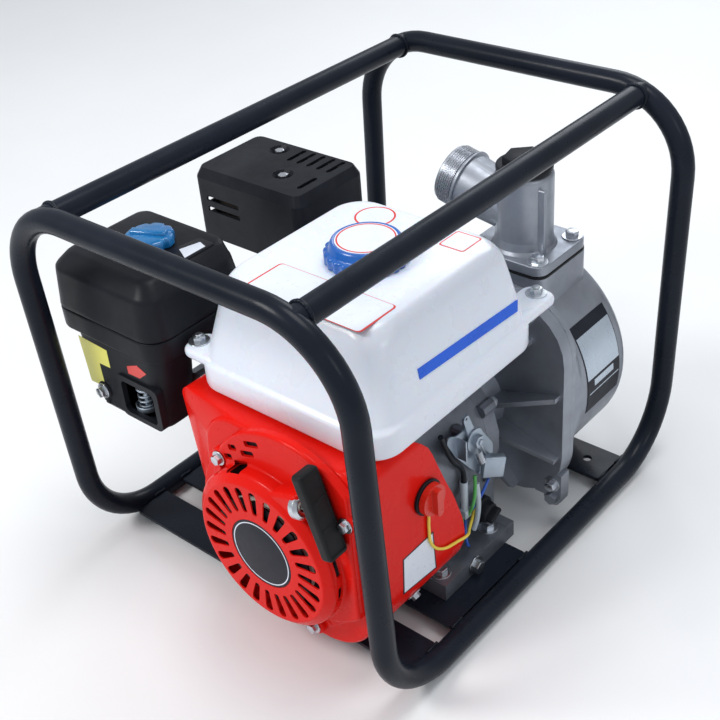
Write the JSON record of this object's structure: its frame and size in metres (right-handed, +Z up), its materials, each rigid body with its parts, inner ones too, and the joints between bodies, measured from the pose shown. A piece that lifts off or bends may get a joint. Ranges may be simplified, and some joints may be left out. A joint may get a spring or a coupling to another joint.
{
  "type": "portable petrol-engine water pump",
  "caption": "Petrol-engine centrifugal water pump in a black tubular carrying frame, with a recoil starter, fuel tank, air cleaner, muffler and threaded suction and discharge ports",
  "frame": {"origin": "on the ground, under the middle of the carrying frame", "axes": "+Z up, +Y along the crankshaft from the recoil starter to the pump, +X to the right as seen from the starter"},
  "size_m": [0.4245, 0.5042, 0.4051],
  "materials": {
    "black_paint": "gloss black powder coat",
    "red_paint": "gloss red paint",
    "cast_aluminium": "fine sand-cast",
    "dark_casting": "machined grey casting",
    "zinc_steel": "bright zinc plate",
    "dark_steel": "heat-dulled steel",
    "black_plastic": "fine grain moulding",
    "white_plastic": "smooth white",
    "white_ceramic": "glazed ceramic",
    "blue_plastic": "smooth blue",
    "red_plastic": "smooth red",
    "black_rubber": "moulded rubber",
    "yellow_insulation": "soft insulation",
    "rope_fibre": "braided rope",
    "bronze_grey": "dull bronze"
  },
  "bodies": {
    "frame": {"hoop_starter_end": "black_paint", "hoop_pump_end": "black_paint", "top_rail_left": "black_paint", "top_rail_right": "black_paint", "cross_plate_starter_end": "black_paint", "engine_plate": "black_paint", "cross_plate_pump_end": "black_paint", "muffler_guard": "black_paint", "fan_cover": "red_paint", "recoil_housing": "red_paint", "crankcase": "cast_aluminium", "crankcase_side_cover": "cast_aluminium", "cylinder_barrel": "cast_aluminium", "cylinder_head": "cast_aluminium", "rocker_cover": "cast_aluminium", "carburettor": "cast_aluminium", "pump_adapter": "cast_aluminium", "pump_casing": "cast_aluminium", "discharge_elbow": "cast_aluminium", "suction_flange": "cast_aluminium", "volute": "dark_casting", "main_bearing_starter_side": "zinc_steel", "main_bearing_pump_side": "zinc_steel", "reel_retainer": "zinc_steel", "rope_eyelet": "zinc_steel", "control_bracket": "zinc_steel", "flap_pin": "zinc_steel", "drain_plunger": "zinc_steel", "muffler": "dark_steel", "air_cleaner_case": "black_plastic", "carburettor_insulator": "black_plastic", "switch_bezel": "black_plastic", "fuel_tank": "white_plastic", "lead_bundle": "white_plastic", "spark_plug": "white_ceramic", "discharge_gasket": "black_rubber", "shaft_seal": "black_rubber", "switch_lead": "yellow_insulation", "casing_drain_plug": "bronze_grey"},
    "rotor": {"crankshaft": "zinc_steel", "flywheel_fan": "dark_casting", "starter_cup": "zinc_steel", "flywheel_nut": "zinc_steel", "impeller": "bronze_grey"},
    "reel": {"recoil_reel": "black_plastic", "wound_rope": "rope_fibre"},
    "grip": {"starter_grip": "black_rubber", "starter_rope": "rope_fibre"},
    "switch": {"switch_knob": "red_plastic"},
    "throttle": {"throttle_lever": "dark_steel"},
    "governor": {"governor_arm": "zinc_steel"},
    "choke": {"choke_lever": "black_plastic"},
    "fuel_valve": {"fuel_valve_lever": "black_plastic"},
    "fuel_cap": {"fuel_cap": "blue_plastic"},
    "priming_plug": {"priming_plug": "black_plastic"},
    "cleaner_cover": {"air_cleaner_cover": "black_plastic"},
    "cleaner_knob": {"air_cleaner_knob": "blue_plastic"},
    "oil_cap": {"oil_filler_cap": "red_plastic"},
    "flap": {"check_valve_flap": "black_rubber"}
  },
  "joints": [
    {"name": "rotor_spin", "type": "hinge", "parent": "frame", "child": "rotor", "pos_m": [0.061, 0, 0.1223], "axis": [0, 1, 0], "continuous": true},
    {"name": "grip_pull", "type": "slide", "parent": "frame", "child": "grip", "axis": [0, -0.9397, 0.342], "range_m": [0, 0.7], "stiffness_N_per_m": 20, "springref_m": -0.2, "deforming": ["starter_rope"]},
    {"name": "reel_turn", "type": "hinge", "parent": "frame", "child": "reel", "pos_m": [0.061, 0, 0.1223], "axis": [0, 1, 0], "range_deg": [0, 760]},
    {"name": "switch_turn", "type": "hinge", "parent": "frame", "child": "switch", "pos_m": [0.1686, -0.128, 0.1623], "axis": [1, 0, 0], "range_deg": [0, 90]},
    {"name": "throttle_turn", "type": "hinge", "parent": "frame", "child": "throttle", "pos_m": [0.1436, -0.038, 0.1583], "axis": [1, 0, 0], "range_deg": [-20, 25]},
    {"name": "governor_turn", "type": "hinge", "parent": "frame", "child": "governor", "pos_m": [0.1436, -0.018, 0.1203], "axis": [1, 0, 0], "range_deg": [-12, 12]},
    {"name": "choke_turn", "type": "hinge", "parent": "frame", "child": "choke", "pos_m": [-0.1098, -0.13365, 0.18654], "axis": [1, 0, 0], "range_deg": [0, 50]},
    {"name": "fuel_valve_turn", "type": "hinge", "parent": "frame", "child": "fuel_valve", "pos_m": [-0.08776, -0.15465, 0.15054], "axis": [0, 1, 0], "range_deg": [0, 90]},
    {"name": "fuel_cap_lift", "type": "slide", "parent": "frame", "child": "fuel_cap", "axis": [0, 0, 1], "range_m": [0, 0.06]},
    {"name": "priming_plug_lift", "type": "slide", "parent": "frame", "child": "priming_plug", "axis": [0, 0, 1], "range_m": [0, 0.04]},
    {"name": "cleaner_cover_lift", "type": "slide", "parent": "frame", "child": "cleaner_cover", "axis": [0, 0, 1], "range_m": [0, 0.036]},
    {"name": "cleaner_knob_turn", "type": "hinge", "parent": "cleaner_cover", "child": "cleaner_knob", "pos_m": [-0.137, -0.14, 0.33], "axis": [0, 0, 1], "continuous": true},
    {"name": "oil_cap_turn", "type": "hinge", "parent": "frame", "child": "oil_cap", "pos_m": [0.15, -0.023, 0.0623], "axis": [1, 0, 0], "continuous": true},
    {"name": "flap_swing", "type": "hinge", "parent": "frame", "child": "flap", "pos_m": [0.061, 0.172, 0.1833], "axis": [-1, 0, 0], "range_deg": [0, 45]}
  ],
  "couplings": [
    {"joint": "reel_turn", "follows": "grip_pull", "rad_per_m": 18.692}
  ]
}
